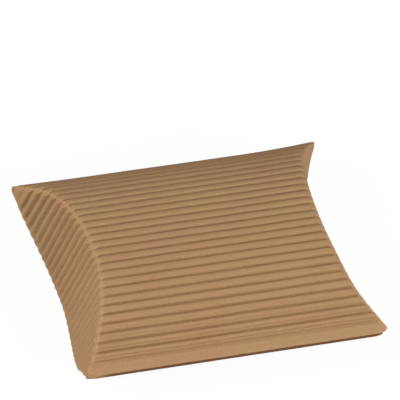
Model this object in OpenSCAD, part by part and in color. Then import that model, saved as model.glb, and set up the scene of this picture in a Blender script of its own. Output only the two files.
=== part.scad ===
// Pillow favor box of single-face corrugated kraft board, fluted side out.
// X runs along the flutes from end to end, Y across them, Z up. The origin is on the
// surface that the box lies on, below the middle of the box. The back fold is at +Y.

/* [Box] */
// Length between the corner points of the two ends
box_length = 114.6; // [80:0.1:180]
// Height of each bulged panel above the plane of the side folds, to the liner's outer face
panel_rise = 14.4; // [9:0.1:16]
// How far each curved end crease dips in from the corner points
crease_depth = 15.4; // [10:0.1:18]
// Exponent of the bulge behind its crown: 2 is a parabola, higher is flatter on top
back_bulge_exponent = 2.6; // [2:0.1:2.8]
// Exponent of the bulge in front of its crown
front_bulge_exponent = 2; // [2:0.1:2.8]
// Radius that rounds the four corner points
corner_radius = 2; // [1:0.1:3]

/* [Board] */
// Spacing of the flutes
flute_pitch = 3.2; // [2.8:0.1:4]
// Number of flutes across one panel from the back fold, where the front edge may cut one short
flute_count = 28.5; // [26:0.25:30]
// Height from the liner's outer face to the outside of a crest
flute_height = 1.5; // [1:0.05:1.8]
// Thickness of the flat liner paper
liner_thickness = 0.3; // [0.2:0.05:0.4]
// Thickness of the fluted medium paper
medium_thickness = 0.25; // [0.2:0.05:0.35]
// Film of glue between liner and medium
glue_film = 0.03; // [0.02:0.01:0.05]
// Length over which the flutes are crushed flat beside a crease
crush_length = 2.6; // [1.5:0.1:3.5]
// Length over which the die presses the flutes down along a flap's free edge
edge_press_length = 1.8; // [1:0.1:3]

/* [Outer flaps] */
// Length of the flap along its middle flute
outer_reach = 28.6; // [22:0.1:29.5]
// Angle by which the closed flap leans out from upright
outer_splay = 14.6; // [8:0.1:16]
// Exponent of the free edge: higher is a flatter edge with fuller ends
outer_edge_exponent = 2.86; // [2.3:0.02:3]

/* [Inner flaps] */
// Length of the flap along its middle flute
inner_reach = 19; // [14:0.5:19.5]
// Angle by which the tucked flap leans into the box from upright
inner_lean = 16; // [14:0.5:22]
// Exponent of the free edge
inner_edge_exponent = 2.4; // [2:0.05:2.8]

/* [Seam] */
// Number of flutes that the glue tab is wide
tab_flutes = 3; // [2:1:4]
// How far the ends of the tab stay in from the creases
tab_setback = 5; // [4:0.5:8]
// Thickness of the glue line between tab and panel
glue_line_thickness = 0.1; // [0.05:0.01:0.15]
// Radius of the crushed bead along the side folds
fold_radius = 1; // [0.6:0.05:1.2]

/* [Hidden] */

// Facets that draw one flute, and the stations across the whole panel
flute_facets = 6;
coarse_facets = 4;
wave_share = 0.62;
// Room at a crease between the ends of the plies, so that the fold can turn
medium_setback = 0.12;
liner_setback = 0.65;
inner_liner_setback = 0.9;
// The flaps end this share of the half width short of the side folds
outer_flap_share = 0.964;
inner_flap_share = 0.79;
// The crushed and pressed lengths stay under this share of a short flute
crush_share = 0.4;
// Height that the pressed free edge keeps, as a share of the flute
pressed_share = 0.45;
// Whole flutes that are crushed flat beside the front edge, besides the one that it cuts short
crushed_flutes = 1;
// The tab starts at the first trough at least this far from the front fold
tab_start = 1.3;
front_bead_angle = -12;
small_fn = 32;

panel_width = flute_pitch * flute_count;
base_height = panel_rise + flute_height;
kraft = [0.69, 0.55, 0.40];
kraft_liner = [0.74, 0.60, 0.45];
glue = [0.86, 0.83, 0.74];

// Panel shape: u runs from -1 at the front fold to 1 at the back fold

function exponent(u) = u < 0 ? front_bulge_exponent : back_bulge_exponent;
function bulge(u) = 1 - pow(abs(u), exponent(u));
function bulge_rate(u) = 2 * exponent(u) * sign(u) * pow(abs(u), exponent(u) - 1) / panel_width;
function rise(u) = panel_rise * bulge(u);
function inset(u) = crease_depth * bulge(u);
function slope(u) = -asin(panel_rise * bulge_rate(u));

// Number of flutes between the back fold and u, and the other way round
function flutes_at(u) = (1 - u) * flute_count / 2;
function u_at(flutes) = 1 - 2 * flutes / flute_count;

// Stations at equal shares of a flute from the back fold, listed from the front edge
function places(facets) = let (steps = floor(flute_count * facets))
    [if (steps < flute_count * facets) -1, for (i = [steps : -1 : 0]) u_at(i / facets)];

// Distance across the closed box at each of the places, summed along the arc
function running_width(list) = [for (i = 0, y = 0; i < len(list);
    y = i + 1 < len(list) ? y + cos(slope((list[i] + list[i + 1]) / 2))
        * (list[i + 1] - list[i]) * panel_width / 2 : y, i = i + 1) y];

// One station: [u, y, z, slope]
function stations(facets) = let (list = places(facets), y = running_width(list))
    [for (i = [0 : len(list) - 1]) let (u = list[i])
        [u, y[i] - y[len(list) - 1] / 2, rise(u), slope(u)]];

fine = stations(flute_facets);
coarse = stations(1);
half_width = fine[len(fine) - 1][1];

function between(list, low, high) = [for (s = list) if (s[0] >= low - 1e-6 && s[0] <= high + 1e-6) s];

// Rounding of the corner points, seen from above
function corner_cut(y) = let (over = max(0, abs(y) - (half_width - corner_radius)))
    corner_radius - sqrt(max(0, pow(corner_radius, 2) - pow(over, 2)));
function end_inset(s) = max(inset(s[0]), corner_cut(s[1]));

// Height of the medium's underside: 0 at a trough, 1 at a crest
function wave(u) = pow((1 - cos(360 * flutes_at(u))) / 2, wave_share);
function front_lift(u) = flutes_at(u) < floor(flute_count) - crushed_flutes ? 1 : 0;
function underside(u, lift) = glue_film
    + (flute_height - medium_thickness - glue_film) * wave(u) * lift;

// Panel point at station s, x along the flute, offset outwards
function panel_point(s, x, offset) =
    [x, s[1] - offset * sin(s[3]), s[2] + offset * cos(s[3])];

// A sheet between two grids of points, rows of equal length
module sheet(outer, inner) {
    rows = len(outer);
    cols = len(outer[0]);
    side = rows * cols;
    function at(r, c) = r * cols + c;
    function quad(a, b, c, d) = [[a, b, c], [a, c, d]];
    polyhedron(
        points = [for (row = outer) each row, for (row = inner) each row],
        faces = [
            for (r = [0 : rows - 2], c = [0 : cols - 2]) each
                quad(at(r, c), at(r, c + 1), at(r + 1, c + 1), at(r + 1, c)),
            for (r = [0 : rows - 2], c = [0 : cols - 2]) each
                quad(side + at(r, c), side + at(r + 1, c), side + at(r + 1, c + 1), side + at(r, c + 1)),
            for (c = [0 : cols - 2]) each
                quad(at(0, c), side + at(0, c), side + at(0, c + 1), at(0, c + 1)),
            for (c = [0 : cols - 2]) each
                quad(at(rows - 1, c), at(rows - 1, c + 1), side + at(rows - 1, c + 1), side + at(rows - 1, c)),
            for (r = [0 : rows - 2]) each
                quad(at(r, 0), at(r + 1, 0), side + at(r + 1, 0), side + at(r, 0)),
            for (r = [0 : rows - 2]) each
                quad(at(r, cols - 1), side + at(r, cols - 1), side + at(r + 1, cols - 1), at(r + 1, cols - 1))
        ],
        convexity = 10);
}

// A point beyond the plane of the side folds moves back to it, towards its neighbour on the sheet
function mitred(p, neighbour) = p.z < 0 ? p + (neighbour - p) * p.z / (p.z - neighbour.z) : p;

// Liner of a panel, cut square to the sheet along both creases and mitred along both side folds
module panel_liner() {
    last = len(coarse) - 1;
    function point(i, way, offset) =
        panel_point(coarse[i], way * (box_length / 2 - end_inset(coarse[i]) - liner_setback), offset);
    function face(offset) = [for (way = [-1, 1]) [for (i = [0 : last])
        mitred(point(i, way, offset), point(min(max(i, 1), last - 1), way, offset))]];
    sheet(face(0), face(-liner_thickness));
}

// Fluted medium of a panel, crushed flat at both creases and beside the front edge
module panel_flutes() {
    ends = [for (s = fine) box_length / 2 - end_inset(s) - medium_setback];
    runs = [[-1, 0, 0], [-1, crush_length, 1], [1, crush_length, 1], [1, 0, 0]];
    function face(thickness) = [for (run = runs) [for (i = [0 : len(fine) - 1])
        let (s = fine[i], lift = run[2] * front_lift(s[0]))
        panel_point(s, run[0] * (ends[i] - run[1]), underside(s[0], lift) + thickness)]];
    sheet(face(medium_thickness), face(0));
}

// Closed flap on a crease curve: top is 1 on the upper panel and -1 on the lower one
function crease_point(s, top) = [box_length / 2 - inset(s[0]), s[1], top * s[2]];
function unit(v) = v / norm(v);
function outwards(v) = v.x < 0 ? -v : v;
function crease_way(u, top) = [crease_depth * bulge_rate(u), cos(slope(u)), top * sin(slope(u))];
function flap_normal(u, top, way) = outwards(unit(cross(way, crease_way(u, top))));

// The rows of a flap: the crease, where the crushed length ends, where the pressed edge starts, the edge
function row_place(row, length, setback) =
    [setback, min(crush_length, length * crush_share),
        length - min(edge_press_length, length * crush_share), length][row];

module flap_sheet(list, top, way, reach, edge_exponent, setback, runs, low, high) {
    function face(highest) = [for (run = runs) [for (s = list)
        let (length = reach * (1 - pow(abs(s[0]), edge_exponent)),
            along = row_place(run[0], length, setback),
            offset = highest ? high(s[0], run[1]) : low(s[0], run[1]))
        crease_point(s, top) + along * way + offset * flap_normal(s[0], top, way)]];
    if (top > 0) sheet(face(true), face(false));
    else sheet(face(false), face(true));
}

module flap_liner(top, way, reach, edge_exponent, share, setback) {
    flap_sheet(between(coarse, -share, share), top, way, reach, edge_exponent, setback,
        [[0, 0], [3, 0]], function (u, lift) -liner_thickness, function (u, lift) 0);
}

module flap_flutes(list, top, way, reach, edge_exponent, share) {
    flap_sheet(between(list, -share, share), top, way, reach, edge_exponent, medium_setback,
        [[0, 0], [1, 1], [2, 1], [3, pressed_share]], function (u, lift) underside(u, lift),
        function (u, lift) underside(u, lift) + medium_thickness);
}

// Places shapes modelled about the plane of the side folds, and the ends and halves of the box
module lifted() { translate([0, 0, base_height]) children(); }
module lower_half() { mirror([0, 0, 1]) children(); }
module left_end() { mirror([1, 0, 0]) children(); }

// Upper panel

module top_panel_liner() { color(kraft_liner) lifted() panel_liner(); }
module top_panel_flutes() { color(kraft) lifted() panel_flutes(); }

// Lower panel, the same shape turned over

module bottom_panel_liner() { color(kraft_liner) lifted() lower_half() panel_liner(); }
module bottom_panel_flutes() { color(kraft) lifted() lower_half() panel_flutes(); }

// Side folds: beads of crushed board that fill the corner between the two fluted faces

module fold_bead(low, high) {
    reach = 2 * fold_radius;
    rotate([90, 0, 90])
        linear_extrude(box_length - 2 * corner_radius, center = true)
            translate([half_width, 0])
                intersection() {
                    circle(fold_radius, $fn = small_fn);
                    polygon([[0, 0], reach * [cos(low), sin(low)], [reach, 0],
                        reach * [cos(high), sin(high)]]);
                }
}

function edge_angle(u) = 90 - abs(slope(u));
module back_fold() { color(kraft) lifted() fold_bead(-edge_angle(1), edge_angle(1)); }
module front_fold() {
    color(kraft) lifted() mirror([0, 1, 0]) fold_bead(front_bead_angle, edge_angle(-1));
}

// Glue tab inside the front edge: it turns in from the upper panel and is glued to the lower one

tab_stations = [for (s = coarse) if ((1 + s[0]) * panel_width / 2 >= tab_start) s];
function tab_row(way, offset) = [for (i = [0 : tab_flutes])
    let (s = tab_stations[i])
    panel_point(s, way * (box_length / 2 - inset(s[0]) - tab_setback), offset)];

module tab_layer(depth, thickness) {
    lower_half() sheet([tab_row(-1, -depth), tab_row(1, -depth)],
        [tab_row(-1, -depth - thickness), tab_row(1, -depth - thickness)]);
}

module glue_line() { color(glue) lifted() tab_layer(liner_thickness, glue_line_thickness); }
module glue_tab_flutes() {
    color(kraft) lifted() tab_layer(liner_thickness + glue_line_thickness, medium_thickness);
}
module glue_tab_liner() {
    color(kraft_liner) lifted()
        tab_layer(liner_thickness + glue_line_thickness + medium_thickness, liner_thickness);
}

// End flaps: the outer one hangs from the upper crease, the inner one stands on the lower crease

outer_way = [sin(outer_splay), 0, -cos(outer_splay)];
inner_way = [-sin(inner_lean), 0, cos(inner_lean)];

module outer_flap_liner() {
    color(kraft_liner) lifted()
        flap_liner(1, outer_way, outer_reach, outer_edge_exponent, outer_flap_share, liner_setback);
}
module outer_flap_flutes() {
    color(kraft) lifted()
        flap_flutes(fine, 1, outer_way, outer_reach, outer_edge_exponent, outer_flap_share);
}
module inner_flap_liner() {
    color(kraft_liner) lifted()
        flap_liner(-1, inner_way, inner_reach, inner_edge_exponent, inner_flap_share,
            inner_liner_setback);
}
module inner_flap_flutes() {
    color(kraft) lifted()
        flap_flutes(stations(coarse_facets), -1, inner_way, inner_reach, inner_edge_exponent, inner_flap_share);
}

module left_outer_flap_liner() { left_end() outer_flap_liner(); }
module left_outer_flap_flutes() { left_end() outer_flap_flutes(); }
module left_inner_flap_liner() { left_end() inner_flap_liner(); }
module left_inner_flap_flutes() { left_end() inner_flap_flutes(); }
module right_outer_flap_liner() { outer_flap_liner(); }
module right_outer_flap_flutes() { outer_flap_flutes(); }
module right_inner_flap_liner() { inner_flap_liner(); }
module right_inner_flap_flutes() { inner_flap_flutes(); }

top_panel_liner();
top_panel_flutes();
bottom_panel_liner();
bottom_panel_flutes();
back_fold();
front_fold();
glue_tab_liner();
glue_tab_flutes();
glue_line();
left_outer_flap_liner();
left_outer_flap_flutes();
left_inner_flap_liner();
left_inner_flap_flutes();
right_outer_flap_liner();
right_outer_flap_flutes();
right_inner_flap_liner();
right_inner_flap_flutes();
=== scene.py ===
import math

import bpy
import numpy as np
from mathutils import Euler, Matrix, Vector, noise


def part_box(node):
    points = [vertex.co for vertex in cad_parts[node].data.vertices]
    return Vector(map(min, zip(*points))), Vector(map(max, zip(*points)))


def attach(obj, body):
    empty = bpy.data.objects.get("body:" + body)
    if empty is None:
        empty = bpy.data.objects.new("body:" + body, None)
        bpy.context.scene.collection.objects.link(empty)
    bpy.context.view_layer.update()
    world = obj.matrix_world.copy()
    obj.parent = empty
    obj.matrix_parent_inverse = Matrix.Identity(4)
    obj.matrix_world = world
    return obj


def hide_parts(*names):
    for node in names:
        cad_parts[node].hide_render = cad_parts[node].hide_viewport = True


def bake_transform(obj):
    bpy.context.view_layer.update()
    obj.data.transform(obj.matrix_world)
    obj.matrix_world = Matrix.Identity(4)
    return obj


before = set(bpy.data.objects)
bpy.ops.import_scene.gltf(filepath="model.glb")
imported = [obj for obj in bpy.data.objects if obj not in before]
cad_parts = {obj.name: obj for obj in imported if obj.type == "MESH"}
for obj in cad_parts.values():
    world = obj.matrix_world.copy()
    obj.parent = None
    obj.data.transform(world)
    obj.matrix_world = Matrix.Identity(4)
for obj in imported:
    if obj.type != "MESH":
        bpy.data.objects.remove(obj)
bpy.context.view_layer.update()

# Lengths are in metres. A pair that at_end reads holds the left and the right end's value. A grain
# is given along and across the flutes, steps are given per flute and per end, and the other pairs
# are where a change starts and where it ends.

# Upper panel, fluted ply. Kraft medium paper, corrugated with its flutes from end to end of the box
# and glued to a flat liner. The panel bulges upwards between its two curved end creases, and its
# flutes are crushed beside each crease and pressed flat along the front edge.
PITCH = 0.0032
FLUTES = 28.5
BLANK_WIDTH = PITCH * FLUTES
LENGTH = 0.1146
RISE = 0.0144
CREASE_DEPTH = 0.0154
BACK_BULGE = 2.6
FRONT_BULGE = 2.0
PAPER = 0.00025
TROUGH = 0.00028
CREST = 0.0015


def power(u):
    return np.where(u < 0, FRONT_BULGE, BACK_BULGE)


def bulge(u):
    """Share of the panel's rise. Across the board u runs from -1 at the front to 1 at the back fold."""
    return 1 - np.abs(u) ** power(u)


def bulge_rate(u):
    return 2 * power(u) * np.sign(u) * np.abs(u) ** (power(u) - 1) / BLANK_WIDTH


def slope(u):
    """Angle by which the panel leans from the level across the flutes."""
    return -np.arcsin(RISE * bulge_rate(u))


ARC_STEPS = 4000
arc_u = np.linspace(-1, 1, ARC_STEPS + 1)
arc_middles = (arc_u[1:] + arc_u[:-1]) / 2
arc_y = np.concatenate([[0], np.cumsum(np.cos(slope(arc_middles)))]) * BLANK_WIDTH / ARC_STEPS
arc_y -= arc_y[-1] / 2
HALF_WIDTH = arc_y[-1]
CROWN = float(np.interp(0, arc_u, arc_y))
fold_low, fold_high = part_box("back_fold")
MIDDLE = (fold_low.z + fold_high.z) / 2


def smooth(low, high, value):
    share = np.clip((value - low) / (high - low), 0, 1)
    return share * share * (3 - 2 * share)


def at_end(end, pair):
    """The left or the right one of two values."""
    return np.where(end < 0, pair[0], pair[1])


BACK_RADII = (0.0003, 0.0030)
FRONT_RADII = (0.0052, 0.0036)
LOWER_FRONT_RADII = (0.0052, 0.0056)


def corner_radius(side, end, half):
    """The back left corner came out of the fold sharp, and the other three are rounded."""
    front = at_end(end, FRONT_RADII if half > 0 else LOWER_FRONT_RADII)
    return np.where(side > 0, at_end(end, BACK_RADII), front)


SQUARER = 0.0006
SQUARER_AT = 0.72
SQUARER_WIDTH = 0.17
FRONT_DRAWN = (0.0010, 0.0011)
FRONT_DRAWN_AT = (-0.88, -0.66)
FRONT_DRAWN_WIDTHS = (0.14, 0.25)


def squarer(u, end):
    """Parts of each crease are drawn in a little further than the bulge of the panel."""
    back = np.exp(-((u - SQUARER_AT) / SQUARER_WIDTH) ** 2)
    front = np.exp(-((u - at_end(end, FRONT_DRAWN_AT)) / at_end(end, FRONT_DRAWN_WIDTHS)) ** 2)
    return SQUARER * back + at_end(end, FRONT_DRAWN) * front


def end_of_flute(u, end, half):
    """Distance from the middle of the box to where a flute ends at the crease or the rounded corner."""
    radius = corner_radius(u, end, half)
    over = np.maximum(0, np.abs(np.interp(u, arc_u, arc_y)) - (HALF_WIDTH - radius))
    corner = radius - np.sqrt(np.maximum(0, radius ** 2 - over ** 2))
    return LENGTH / 2 - np.maximum(CREASE_DEPTH * bulge(u) + squarer(u, end), corner)


def flutes_at(u):
    """How many flutes lie between here and the back fold."""
    return (1 - u) / 2 * FLUTES


def wander(along, across, grain, seed):
    """Smooth random values, which change faster with a larger grain. Each use has its own seed."""
    places = zip((along * grain[0]).tolist(), (across * grain[1]).tolist())
    return np.array([noise.noise((p, q, seed)) for p, q in places])


SLOW_DRIFT = 0.05
SLOW_DRIFT_GRAIN = (40, 0.8)
QUICK_DRIFT = 0.02
QUICK_DRIFT_GRAIN = (260, 1)
LEAST_LAG = 0.09
MOST_LAG = 0.33
LAG_FADES = (6, 19)


def drifted(u, run, seed):
    """Flutes counted from the back. Those of real board drift, and these lie nearer the front."""
    count = flutes_at(u)
    drift = SLOW_DRIFT * wander(run, count, SLOW_DRIFT_GRAIN, seed)
    drift += QUICK_DRIFT * wander(run, count, QUICK_DRIFT_GRAIN, seed + 5)
    drift -= LEAST_LAG + (MOST_LAG - LEAST_LAG) * (1 - smooth(*LAG_FADES, count))
    return count + drift * smooth(0, 1, np.minimum(count, FLUTES - count))


ARCH = 0.40
GROOVE = 0.17
HEIGHT_SPREAD = 0.08
HEIGHT_GRAIN = (30, 1.7)
BACK_FLATTENING = 0.27
FLATTENED_FLUTES = 5
LAST_GROOVE = 27.1
DENT_START = 20
DENT_PLACE = 0.62
DENT_DEPTH = 0.42
DENT_SHARPNESS = 6


def relief_of(u, run, seed):
    """Height of the ply, from 0 in a trough to 1 on a crest. Toward the front the crests are dented."""
    count = flutes_at(u)
    shifted = drifted(u, run, seed)
    tall = 1 + HEIGHT_SPREAD * wander(run, np.floor(count), HEIGHT_GRAIN, seed + 9)
    tall *= 1 - BACK_FLATTENING * (1 - smooth(0, FLATTENED_FLUTES, count))
    dented = DENT_DEPTH * smooth(DENT_START, LAST_GROOVE, count)
    dent = dented * np.maximum(0, np.cos(2 * np.pi * (shifted - DENT_PLACE))) ** DENT_SHARPNESS
    phase = shifted - np.floor(shifted)
    arch = 1 - ARCH * (2 * phase - 1) ** 2
    return np.minimum(1, tall * arch * smooth(0, GROOVE, np.minimum(phase, 1 - phase))) - dent


CRUSH_LENGTHS = (0.0015, 0.0014)
CRUSHED_SHARES = (0.36, 0.12)
CRUSHED_LEVELS = (0.0, 0.5)
RAGGEDNESS = 0.2
RAGGED_STEPS = (3.3, 7.7)
RIDGE = 0.00018
RIDGE_WIDTH = 0.0010
BACK_FOLD_EDGE = 0.6
BEAD_RADIUS = 0.00098
BAND_EDGE = 0.38
BAND_VALLEY = 27.76
VALLEY_WIDTH = 0.22
VALLEY_DEPTH = 0.0003


def panel_height(u, run, from_end, seed):
    """Height of a panel's outer face over its liner, at the given distance from the crease."""
    count = flutes_at(u)
    ragged = 1 + RAGGEDNESS * wander(np.floor(count), np.sign(run), RAGGED_STEPS, seed + 2)
    crushed = smooth(0, at_end(run, CRUSH_LENGTHS) * ragged, from_end)
    share = at_end(run, CRUSHED_SHARES)
    relief = relief_of(u, run, seed) * (share + (1 - share) * crushed)
    height = TROUGH + (CREST - TROUGH) * (relief + at_end(run, CRUSHED_LEVELS) * (1 - crushed))
    height += at_end(run, (RIDGE, 0)) * (1 - smooth(0, RIDGE_WIDTH, from_end))
    band = smooth(0, BAND_EDGE, count - LAST_GROOVE)
    valley = VALLEY_DEPTH * np.exp(-((count - BAND_VALLEY) / VALLEY_WIDTH) ** 2)
    level = (CREST - TROUGH) * at_end(run, CRUSHED_LEVELS) * (1 - crushed)
    flat = TROUGH + np.maximum((BEAD_RADIUS - TROUGH) * band, level) - valley * crushed
    beside_back_fold = TROUGH + (BEAD_RADIUS - TROUGH) * (1 - smooth(0, BACK_FOLD_EDGE, count))
    return np.where(count > LAST_GROOVE, flat, np.maximum(height, beside_back_fold))


def flat_sheet(name, across, along):
    """A flat grid from -1 to 1, with x along the flutes and y across them toward the back."""
    bpy.ops.object.select_all(action="DESELECT")
    bpy.ops.mesh.primitive_grid_add(x_subdivisions=along, y_subdivisions=round(across), size=2)
    piece = bpy.context.object
    piece.name = name
    piece.data.name = name
    return piece


CORNER_LIFTS = (0.0005, 0.0020)
LIFT_START = 0.025


def lay(piece, rule, end, half):
    """Moves the flat sheet's points to where the rule puts them. End is -1 at the left and 1 at the right,
    and half is 1 for the upper half of the box and -1 for the lower."""
    flat = np.empty(len(piece.data.vertices) * 3)
    piece.data.vertices.foreach_get("co", flat)
    flat = flat.reshape(-1, 3)
    place, masks = rule(flat[:, 0], flat[:, 1])
    place = place * np.array([end, 1, half]) + np.array([0, 0, MIDDLE])
    toward_end = np.clip((np.abs(place[:, 0]) - LIFT_START) / (LENGTH / 2 - LIFT_START), 0, 1)
    lift = at_end(place[:, 0], CORNER_LIFTS)
    place[:, 2] += lift * (toward_end * np.clip(place[:, 1] / HALF_WIDTH, 0, 1)) ** 2
    piece.data.vertices.foreach_set("co", place.ravel())
    for mask, values in masks.items():
        piece.data.attributes.new(mask, "FLOAT", "POINT").data.foreach_set("value", values)
    if end * half < 0:
        bpy.ops.object.mode_set(mode="EDIT")
        bpy.ops.mesh.select_all(action="SELECT")
        bpy.ops.mesh.flip_normals()
        bpy.ops.object.mode_set(mode="OBJECT")
    piece.data.update()


SHARPEST_SMOOTHED = math.radians(50)


def thicken(piece, thickness):
    wall = piece.modifiers.new("wall", "SOLIDIFY")
    wall.thickness = thickness
    wall.offset = -1
    bpy.ops.object.modifier_apply(modifier=wall.name)
    bpy.ops.object.shade_smooth_by_angle(angle=SHARPEST_SMOOTHED)


def panel_place(u, x, height):
    tilt = slope(u)
    y = np.interp(u, arc_u, arc_y)
    return np.stack([x, y - height * np.sin(tilt), RISE * bulge(u) + height * np.cos(tilt)], axis=1)


ROW_CROWDING = 1.6


def panel_flutes(seed, half):
    """Rule that lays a flat grid as a panel's fluted ply."""
    def rule(gx, gy):
        end = end_of_flute(gy, gx, half)
        x = np.sign(gx) * (1 - (1 - np.abs(gx)) ** ROW_CROWDING) * end
        height = panel_height(gy, x, end - np.abs(x), seed)
        return panel_place(gy, x, height), {"along": x, "across": gy * BLANK_WIDTH / 2}
    return rule


FACETS = 18
PANEL_ROWS = 76
UPPER_SEED = 1.0
upper_flutes = flat_sheet("upper_panel_flutes", FLUTES * FACETS, PANEL_ROWS)
lay(upper_flutes, panel_flutes(UPPER_SEED, 1), 1, 1)
thicken(upper_flutes, PAPER)
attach(upper_flutes, "box_shell")
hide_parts("top_panel_flutes")


class Wire:
    """One output in a material's node tree. Sums and products of wires add Math nodes."""

    def __init__(self, tree, socket=None):
        self.tree = tree
        self.socket = socket

    def add(self, kind, settings, sockets, output=0):
        new = self.tree.nodes.new(kind)
        for name, value in settings.items():
            setattr(new, name, value)
        for name, value in sockets.items():
            if isinstance(value, Wire):
                self.tree.links.new(value.socket, new.inputs[name])
            else:
                new.inputs[name].default_value = value
        return Wire(self.tree, new.outputs[output]) if new.outputs else None

    def math(self, operation, *values):
        return self.add("ShaderNodeMath", {"operation": operation}, dict(enumerate(values)))

    def __add__(self, other):
        return self.math("ADD", self, other)

    __radd__ = __add__

    def __sub__(self, other):
        return self.math("SUBTRACT", self, other)

    def __rsub__(self, other):
        return self.math("SUBTRACT", other, self)

    def __mul__(self, other):
        return self.math("MULTIPLY", self, other)

    __rmul__ = __mul__

    def between(self, low, high):
        return self.add("ShaderNodeMapRange", {"interpolation_type": "SMOOTHSTEP"},
                        {"Value": self, "From Min": low, "From Max": high})

    def tint(self, colour, share, blend="MIX"):
        return self.add("ShaderNodeMix", {"data_type": "RGBA", "blend_type": blend},
                        {0: share, 6: self, 7: colour}, 2)

    def grain(self, scale, detail=2.0):
        stretched = self.add("ShaderNodeMapping", {}, {"Vector": self, "Scale": scale})
        return self.add("ShaderNodeTexNoise", {}, {"Vector": stretched, "Scale": 1.0, "Detail": detail})

    def mask(self, name):
        return self.add("ShaderNodeAttribute", {"attribute_name": name}, {}, "Fac")


PATTERN_LAYER = 0.37
PATCH_GRAIN = (50, 50, 1)
STREAK_GRAIN = (130, 1500, 1)
FIBRE_GRAIN = (1500, 2600, 1)
FLECK_GRAIN = (800, 1900, 1)
STREAK_SHARE = 0.10
FIBRE_SHARE = 0.20
PATCH_SHARE = 0.08
WORN_SHARE = 0.12
PATCH_EDGES = (0.4, 0.6)
RUDDY = (1.015, 0.98, 0.99)
SANDY = (0.99, 1.01, 0.98)
FLECK_EDGES = (0.66, 0.80)
FLECK_SHARE = 0.30
FLECK_COLOUR = (0.62, 0.45, 0.28, 1)
# Painted shade: a colour multiplied into the downward-facing underside of the front bead, where shade
# falls.
UNDERSIDE_PAINTED_SHADE = (0.34, 0.26, 0.18, 1)
MEDIUM_COLOUR = (0.395, 0.236, 0.116)
LINER_COLOUR = (0.42, 0.275, 0.14)


def kraft(name, paper):
    """Uncoated brown paper: soft patches, streaks along the flutes, fibres, worn folds, and painted shade
    under the front fold.
    """
    material = bpy.data.materials.new(name)
    material.use_nodes = True
    material.node_tree.nodes.clear()
    start = Wire(material.node_tree)
    along = start.mask("along")
    across = start.mask("across")
    place = start.add("ShaderNodeCombineXYZ", {}, {"X": along, "Y": across, "Z": PATTERN_LAYER})
    patches = place.grain(PATCH_GRAIN)
    streaks = place.grain(STREAK_GRAIN, 3.0)
    fibres = place.grain(FIBRE_GRAIN, 1.0)
    flecks = place.grain(FLECK_GRAIN, 1.0)
    value = 1 + STREAK_SHARE * (streaks - 0.5) + FIBRE_SHARE * (fibres - 0.5)
    value = value + PATCH_SHARE * (patches - 0.5) + WORN_SHARE * start.mask("worn")
    grey = start.add("ShaderNodeCombineColor", {}, {"Red": value, "Green": value, "Blue": value})
    ruddy = (*np.multiply(paper, RUDDY).tolist(), 1)
    sandy = (*np.multiply(paper, SANDY).tolist(), 1)
    colour = start.add("ShaderNodeMix", {"data_type": "RGBA"},
                       {0: patches.between(*PATCH_EDGES), 6: ruddy, 7: sandy}, 2)
    colour = colour.tint(grey, 1.0, "MULTIPLY")
    colour = colour.tint(FLECK_COLOUR, FLECK_SHARE * flecks.between(*FLECK_EDGES))
    # Painted shade darkens the underside of the front bead wherever the shade mask is set.
    colour = colour.tint(UNDERSIDE_PAINTED_SHADE, start.mask("shade"), "MULTIPLY")
    bump = start.add("ShaderNodeBump", {}, {
        "Strength": 0.35, "Distance": 0.00012, "Height": fibres + streaks})
    shader = start.add("ShaderNodeBsdfPrincipled", {}, {
        "Base Color": colour, "Roughness": 0.86, "Normal": bump, "Specular IOR Level": 0.25})
    start.add("ShaderNodeOutputMaterial", {}, {"Surface": shader})
    return material


medium_paper = kraft("fluted_kraft_medium", MEDIUM_COLOUR)
upper_flutes.data.materials.append(medium_paper)

# Upper panel, liner. Flat kraft paper glued to the troughs of the fluted ply, on the inside of the
# box, where it shows when a flap is open. It stops just short of the creases and the folds.
LINER = 0.0003
LINER_GAP = 0.0005
LINER_TRIM = 1.5 * LINER
LINER_FACETS = 3
LINER_ROWS = 24


def panel_liner(half):
    """Rule that lays a flat grid as a panel's liner."""
    def rule(gx, gy):
        x = gx * (end_of_flute(gy, gx, half) - LINER_GAP)
        narrow = gy * (1 - LINER_TRIM / HALF_WIDTH)
        return panel_place(narrow, x, np.zeros(len(gx))), {"along": x, "across": gy * BLANK_WIDTH / 2}
    return rule


liner_paper = kraft("kraft_liner", LINER_COLOUR)
upper_liner = flat_sheet("upper_panel_liner", FLUTES * LINER_FACETS, LINER_ROWS)
lay(upper_liner, panel_liner(1), 1, 1)
thicken(upper_liner, LINER)
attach(upper_liner, "box_shell")
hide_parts("top_panel_liner")
upper_liner.data.materials.append(liner_paper)

# Lower panel: a fluted ply and a liner like the upper panel's, which bulge down and aren't seen in
# the photograph. The box lies loose on the middle flutes of this panel.
LOWER_SEED = 40.0
lower_flutes = flat_sheet("lower_panel_flutes", FLUTES * FACETS, PANEL_ROWS)
lay(lower_flutes, panel_flutes(LOWER_SEED, -1), 1, -1)
thicken(lower_flutes, PAPER)
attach(lower_flutes, "box_shell")
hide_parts("bottom_panel_flutes")
lower_flutes.data.materials.append(medium_paper)
lower_liner = flat_sheet("lower_panel_liner", FLUTES * LINER_FACETS, LINER_ROWS)
lay(lower_liner, panel_liner(-1), 1, -1)
thicken(lower_liner, LINER)
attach(lower_liner, "box_shell")
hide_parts("bottom_panel_liner")
lower_liner.data.materials.append(liner_paper)

# Side folds: the board is crushed to a rounded bead where the two panels join at the back and where the
# upper panel turns in to the glue tab at the front. The downward-facing underside of the front bead is
# darkened with painted shade.
BEAD_TONGUE = 0.0012
TONGUE_DIP = 0.0004
TONGUE_TURN = 0.9
CAP = 0.0012
CAPPED_SHARE = 0.25
BEAD_STOPS = (0.15, 0.7)
BACK_BEAD_STOP = 0.3
BEAD_SPREAD = 0.05
BEAD_GRAIN = (300, 0.3)
BEAD_PATTERN = 0.3
# Turns of the front bead over which its painted shade fades in, and the distance from the left end over
# which it starts.
PAINTED_SHADE_TURNS = (math.radians(50), math.radians(75))
PAINTED_SHADE_START = (0.002, 0.012)


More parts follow.
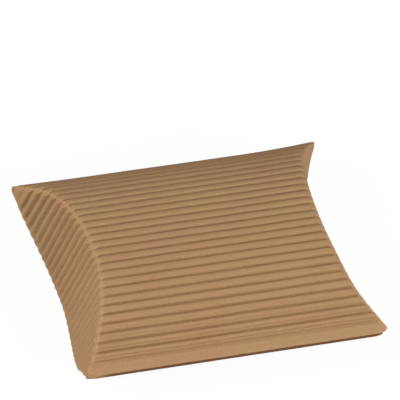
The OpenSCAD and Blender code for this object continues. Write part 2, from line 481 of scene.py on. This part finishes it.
def fold(side, seed):
    """Rule for the bead along one side. Two short tongues of it lie under the panels' edges."""
    flat_turn = math.pi / 2 - abs(float(slope(np.array(float(side)))))

    def rule(gx, gy):
        corner = corner_radius(side, gx, -1)
        reach = LENGTH / 2 - (BACK_BEAD_STOP if side > 0 else at_end(gx, BEAD_STOPS)) * corner
        x = np.sign(gx) * (1 - (1 - np.abs(gx)) ** ROW_CROWDING) * reach
        over = np.maximum(0, np.abs(x) - (LENGTH / 2 - corner))
        inward = corner - np.sqrt(corner ** 2 - over ** 2)
        capped = np.sqrt(1 - np.clip((np.abs(x) - reach + CAP) / CAP, 0, 1) ** 2)
        radius = BEAD_RADIUS * (1 + BEAD_SPREAD * wander(x, np.ones(len(x)), BEAD_GRAIN, seed))
        radius = radius * (CAPPED_SHARE + (1 - CAPPED_SHARE) * capped)
        wrap = -side * gy * (flat_turn + TONGUE_TURN)
        turn = np.clip(wrap, -flat_turn, flat_turn)
        tongue = np.maximum(0, np.abs(wrap) - flat_turn) / TONGUE_TURN
        sink = radius - TONGUE_DIP * tongue
        y = HALF_WIDTH - inward + sink * np.cos(turn) - tongue * BEAD_TONGUE * math.sin(flat_turn)
        z = sink * np.sin(turn) + np.sign(wrap) * tongue * BEAD_TONGUE * math.cos(flat_turn)
        # Painted shade: the front bead's underside, turned down away from the light, is darkened, fading
        # out toward the left corner.
        dark = 1 - smooth(*PAINTED_SHADE_TURNS, turn) if side < 0 else np.zeros(len(x))
        masks = {"shade": dark * smooth(*PAINTED_SHADE_START, LENGTH / 2 + x), "along": x,
                 "across": z + BEAD_PATTERN}
        return np.stack([x, side * y, z], axis=1), masks
    return rule


FOLD_FACETS = 24
FOLD_ROWS = 160
BACK_FOLD_SEED = 11.0
FRONT_FOLD_SEED = 17.0
back_fold = flat_sheet("back_edge_fold", FOLD_FACETS, FOLD_ROWS)
lay(back_fold, fold(1, BACK_FOLD_SEED), 1, 1)
thicken(back_fold, PAPER)
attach(back_fold, "box_shell")
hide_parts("back_fold")
back_fold.data.materials.append(medium_paper)
front_fold = flat_sheet("front_edge_fold", FOLD_FACETS, FOLD_ROWS)
lay(front_fold, fold(-1, FRONT_FOLD_SEED), 1, 1)
thicken(front_fold, PAPER)
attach(front_fold, "box_shell")
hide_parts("front_fold")
front_fold.data.materials.append(medium_paper)

# End flaps, fluted ply. Each outer flap hangs from the upper panel's crease, and each inner flap
# stands on the lower one behind it. The ply rolls over the crease, so the worn ridge belongs to it,
# and it is pressed flat again at its free edge. A liner like the panels' backs each of them.
OUTER_REACH = 0.0286
OUTER_SPLAY = math.radians(14.6)
OUTER_EDGE = 2.86
INNER_REACH = 0.0190
INNER_LEAN = math.radians(16)
INNER_EDGE = 2.4


def unit(vectors):
    return vectors / np.linalg.norm(vectors, axis=1, keepdims=True)


def crease(u, end, half):
    """Points of the right crease on the upper half, with the panel's normal and the crease's direction."""
    tilt = slope(u)
    y = np.interp(u, arc_u, arc_y)
    point = np.stack([end_of_flute(u, end, half), y, RISE * bulge(u)], axis=1)
    normal = np.stack([np.zeros(len(u)), -np.sin(tilt), np.cos(tilt)], axis=1)
    along = np.stack([CREASE_DEPTH * bulge_rate(u), np.cos(tilt), np.sin(tilt)], axis=1)
    return point, normal, along


LEAST_REACH = 0.0004
FRONT_CUT = 0.96


def flap_length(u, reach, edge):
    """Length of the flap along its flutes. Its front corner is cut a little rounder than its back one."""
    wide = np.abs(u) / np.where(u < 0, FRONT_CUT, 1)
    return LEAST_REACH + (reach - LEAST_REACH) * np.maximum(0, 1 - wide ** edge)


FLAP_CRUSH = (0.0004, 0.0070)
FLAP_RAGGEDNESS = 0.3
FLAP_RAGGED_STEPS = (3.3, 2.2)
CRUSH_START = 0.0001
SHORT_FLAP = 0.004
FLAT_CORNER = (0.45, 0.75)
FLAT_CORNER_SHARE = 0.8
PRESS_LENGTH = 0.0030
PRESS_LIMIT_SHARE = 0.6
PRESSED_SHARE = 0.2
FLAP_SHARE = 1.25
BROAD_CRESTS = 0.6
FRONT_TIGHTENING = 0.42
TIGHTENING_PLACE = (-0.3, 0.5)
FLUTE_SLANT = 1.4


def flap_relief(u, run, full, place_on_flute, end, seed):
    """Height of a flap's ply, which is crushed beside the crease and pressed at the free edge."""
    count = flutes_at(u)
    steps = wander(np.floor(count), np.ones(len(u)), FLAP_RAGGED_STEPS, seed + end)
    crush_length = at_end(end, FLAP_CRUSH) * (1 + FLAP_RAGGEDNESS * steps)
    crushed = smooth(CRUSH_START, crush_length, run) * smooth(0, SHORT_FLAP, full)
    crushed *= 1 - FLAT_CORNER_SHARE * (end > 0) * smooth(*FLAT_CORNER, u)
    pressed = smooth(0, np.minimum(PRESS_LENGTH, PRESS_LIMIT_SHARE * full), full - run)
    share = at_end(end, CRUSHED_SHARES)
    lifted = (share + (1 - share) * crushed) * (PRESSED_SHARE + (1 - PRESSED_SHARE) * pressed)
    wave = 0.5 - 0.5 * np.cos(2 * np.pi * drifted(u + FLUTE_SLANT * run, place_on_flute, seed))
    tall = FLAP_SHARE * (1 - FRONT_TIGHTENING * smooth(*TIGHTENING_PLACE, -u))
    return tall * (1 - smooth(LAST_GROOVE - 1, LAST_GROOVE, count)) * wave ** BROAD_CRESTS * lifted


LIP = 0.0012
LIP_SHARE = 0.10
LIP_LIFT = 0.00002
LIP_DIP = 0.00012
LIP_DIP_START = 0.6
TURN_SHARE = 0.22
RUN_CROWDING = 1.35
ROLL_LENGTH = 0.0009
OUTER_TIP = 0.99
INNER_TIP = 0.93
THIN_CORNER = 0.75
CORNER_START = (0.82, 0.95)
FLAP_THINNED = (0.0, 0.6)
SQUARER_RUN = 0.015
WORN_LIP_START = 0.3
WORN_RUN = (0.0001, 0.0011)


def flap_flutes(reach, lean, edge, end, half):
    """Rule for a flap's fluted ply, which rolls from the panel over the crease and hangs from there."""
    way = np.array([math.sin(lean), 0, -math.cos(lean)])
    seed = UPPER_SEED if half > 0 else LOWER_SEED

    def rule(gx, gy):
        gy = gy * (OUTER_TIP if half > 0 else INNER_TIP)
        row = (gx + 1) / 2
        point, panel_normal, along = crease(gy, end, half)
        flap_normal = unit(np.cross(np.broadcast_to(way, along.shape), along))
        from_crease = LIP * np.interp(row, [0, LIP_SHARE], [1, 0])
        turn = smooth(LIP_SHARE, TURN_SHARE, row)[:, None]
        normal = unit(panel_normal * (1 - turn) + flap_normal * turn)
        full = flap_length(gy, reach, edge)
        run = np.interp(row, [TURN_SHARE, 1], [0, 1]) ** RUN_CROWDING * full
        place_on_flute = end * (point[:, 0] - from_crease + run)
        rolled = panel_height(gy, place_on_flute, from_crease, seed)
        rolled += LIP_LIFT - LIP_DIP * smooth(LIP_DIP_START, 1, from_crease / LIP)
        fluted = flap_relief(gy, run, full, place_on_flute, end, seed)
        down = smooth(0, ROLL_LENGTH, run)
        height = rolled * (1 - down) + (TROUGH + (CREST - TROUGH) * fluted) * down
        thin = np.maximum(THIN_CORNER * smooth(*CORNER_START, np.abs(gy)), at_end(end, FLAP_THINNED))
        height *= 1 - thin * turn[:, 0]
        place = point + run[:, None] * way + height[:, None] * normal
        place[:, 0] += squarer(gy, end) * smooth(0, SQUARER_RUN, run) - from_crease
        worn = (1 - smooth(WORN_LIP_START, 1, from_crease / LIP)) * (1 - smooth(*WORN_RUN, run))
        return place, {"worn": worn, "along": place_on_flute, "across": gy * BLANK_WIDTH / 2}
    return rule


FLAP_LINER_TIP = 0.985


def flap_liner(reach, lean, edge, end, half):
    """Rule for a flap's liner, which starts just past the crease."""
    way = np.array([math.sin(lean), 0, -math.cos(lean)])

    def rule(gx, gy):
        u = gy * FLAP_LINER_TIP
        point = crease(u, end, half)[0]
        full = flap_length(u, reach, edge)
        run = LINER_GAP + (gx + 1) / 2 * (full - LINER_GAP)
        return point + run[:, None] * way, {"along": run, "across": gy * BLANK_WIDTH / 2}
    return rule


FLAP_BLEND = 0.7
FLAP_BLEND_START = 0.0008


def hang(piece, reach, lean, end, half):
    """Bakes the flap piece's placement into its mesh. The hinge point and depth worked out here are not
    used.
    """
    inward = Vector((-RISE * end, 0, -CREASE_DEPTH * half)).normalized()
    crown = Vector(((LENGTH / 2 - CREASE_DEPTH) * end, 0, MIDDLE + RISE * half))
    depth = reach * Vector((math.sin(lean) * end, 0, -math.cos(lean) * half)).dot(inward)
    crown + (FLAP_BLEND_START + FLAP_BLEND * depth) * inward
    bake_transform(piece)


FLAP_ROWS = 50
FLAP_LINER_ROWS = 14
for side, end in (("left", -1), ("right", 1)):
    for layer, half, reach, lean, edge in (("outer", 1, OUTER_REACH, OUTER_SPLAY, OUTER_EDGE),
                                           ("inner", -1, INNER_REACH, -INNER_LEAN, INNER_EDGE)):
        body = f"{side}_{layer}_flap"
        ply = flat_sheet(body + "_fluted_ply", FLUTES * FACETS, FLAP_ROWS)
        lay(ply, flap_flutes(reach, lean, edge, end, half), end, half)
        thicken(ply, PAPER)
        ply.data.materials.append(medium_paper)
        hang(ply, reach, lean, end, half)
        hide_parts(body + "_flutes")
        backing = flat_sheet(body + "_liner_ply", FLUTES * LINER_FACETS, FLAP_LINER_ROWS)
        lay(backing, flap_liner(reach, lean, edge, end, half), end, half)
        thicken(backing, LINER)
        backing.data.materials.append(liner_paper)
        hang(backing, reach, lean, end, half)
        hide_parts(body + "_liner")

# Glue tab: its liner and crushed medium are carried over from the solids, and so is the line of
# white craft glue that holds it to the lower panel.
GLUE_GRAIN = (300, 900, 900)
GLUE_EDGES = (0.35, 0.65)
GLUE_DARK = (0.60, 0.52, 0.38, 1)
GLUE_LIGHT = (0.70, 0.63, 0.50, 1)
glue = bpy.data.materials.new("dried_glue")
glue.use_nodes = True
glue.node_tree.nodes.clear()
start = Wire(glue.node_tree)
cloudy = start.add("ShaderNodeTexCoord", {}, {}, "Object").grain(GLUE_GRAIN)
film = start.add("ShaderNodeMix", {"data_type": "RGBA"},
                 {0: cloudy.between(*GLUE_EDGES), 6: GLUE_DARK, 7: GLUE_LIGHT}, 2)
shader = start.add("ShaderNodeBsdfPrincipled", {}, {"Base Color": film, "Roughness": 0.45})
start.add("ShaderNodeOutputMaterial", {}, {"Surface": shader})
carried_over = {"glue_tab_liner": liner_paper, "glue_tab_flutes": medium_paper, "glue_line": glue}
for node, material in carried_over.items():
    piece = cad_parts[node]
    piece.data.materials.clear()
    piece.data.materials.append(material)

# Studio: a plain pale floor, a dim white room with three soft square lamps, and the camera at the
# photograph's angle. The floor glows a little where the camera sees it, so that it comes out white.
FLOOR_SIZE = 6.0
FLOOR_DROP = 0.00002
FLOOR_PAINT = (0.8, 0.8, 0.8, 1)
FLOOR_GLOW = 1.04
GLOW_SHARE = 0.9
ROOM_LIGHT = 0.19
WHITE = (1, 1, 1, 1)
bpy.ops.object.select_all(action="DESELECT")
bpy.ops.mesh.primitive_plane_add(size=FLOOR_SIZE, location=(0, 0, -FLOOR_DROP))
floor = bpy.context.object
floor.name = "floor"
paint = bpy.data.materials.new("white_sweep")
paint.use_nodes = True
paint.node_tree.nodes.clear()
start = Wire(paint.node_tree)
seen = start.add("ShaderNodeLightPath", {}, {}, "Is Camera Ray")
matt = start.add("ShaderNodeBsdfDiffuse", {}, {"Color": FLOOR_PAINT})
glow = start.add("ShaderNodeEmission", {}, {"Color": WHITE, "Strength": FLOOR_GLOW})
mixed = start.add("ShaderNodeMixShader", {}, {0: seen * GLOW_SHARE, 1: matt, 2: glow})
start.add("ShaderNodeOutputMaterial", {}, {"Surface": mixed})
floor.data.materials.append(paint)

world = bpy.data.worlds.new("soft_room")
bpy.context.scene.world = world
world.use_nodes = True
world.node_tree.nodes.clear()
sky = Wire(world.node_tree)
seen = sky.add("ShaderNodeLightPath", {}, {}, "Is Camera Ray")
strength = ROOM_LIGHT + (1 - ROOM_LIGHT) * seen
backdrop = sky.add("ShaderNodeBackground", {}, {"Color": WHITE, "Strength": strength})
sky.add("ShaderNodeOutputWorld", {}, {"Surface": backdrop})
LAMP_SIZE = 0.5
LAMP_DISTANCE = 0.9


def softbox(name, azimuth, elevation, watts):
    """A square lamp that looks at the middle of the box. Azimuth 0 is the front and -90 the left."""
    turned = math.radians(azimuth)
    raised = math.radians(elevation)
    ahead = math.cos(raised)
    way = Vector((math.sin(turned) * ahead, -math.cos(turned) * ahead, math.sin(raised)))
    lamp = bpy.data.lights.new(name, "AREA")
    lamp.shape = "SQUARE"
    lamp.size = LAMP_SIZE
    lamp.energy = watts
    holder = bpy.data.objects.new(name, lamp)
    holder.location = Vector((0, 0, MIDDLE)) + way * LAMP_DISTANCE
    holder.rotation_euler = way.to_track_quat("Z", "Y").to_euler()
    bpy.context.scene.collection.objects.link(holder)


softbox("left_softbox", -88, 38, 5.5)
softbox("right_softbox", 43, 31, 5.4)
softbox("front_softbox", 0, 42, 0.75)

CAMERA_AZIMUTH = math.radians(-30.80)
CAMERA_ELEVATION = math.radians(49.82)
CAMERA_ROLL = math.radians(16.33)
CAMERA_DISTANCE = 2.534
CAMERA_AIM = Vector((0.00011, 0.02102, 0))
FOCAL_PIXELS = 7216.7
PICTURE_PIXELS = 400
SENSOR_WIDTH = 36
FARTHEST_SEEN = 20
camera = bpy.data.objects.new("camera", bpy.data.cameras.new("camera"))
turned = Euler((math.pi / 2 - CAMERA_ELEVATION, 0, CAMERA_AZIMUTH)).to_matrix()
rolled = Euler((0, 0, CAMERA_ROLL)).to_matrix()
facing = turned @ rolled
place = Vector((0, CROWN, MIDDLE)) + facing @ (CAMERA_AIM + Vector((0, 0, CAMERA_DISTANCE)))
camera.matrix_world = facing.to_4x4()
camera.location = place
camera.data.sensor_width = SENSOR_WIDTH
camera.data.lens = SENSOR_WIDTH * FOCAL_PIXELS / PICTURE_PIXELS
camera.data.clip_end = FARTHEST_SEEN
bpy.context.scene.collection.objects.link(camera)
bpy.context.scene.camera = camera
bpy.context.scene.view_settings.view_transform = "Standard"
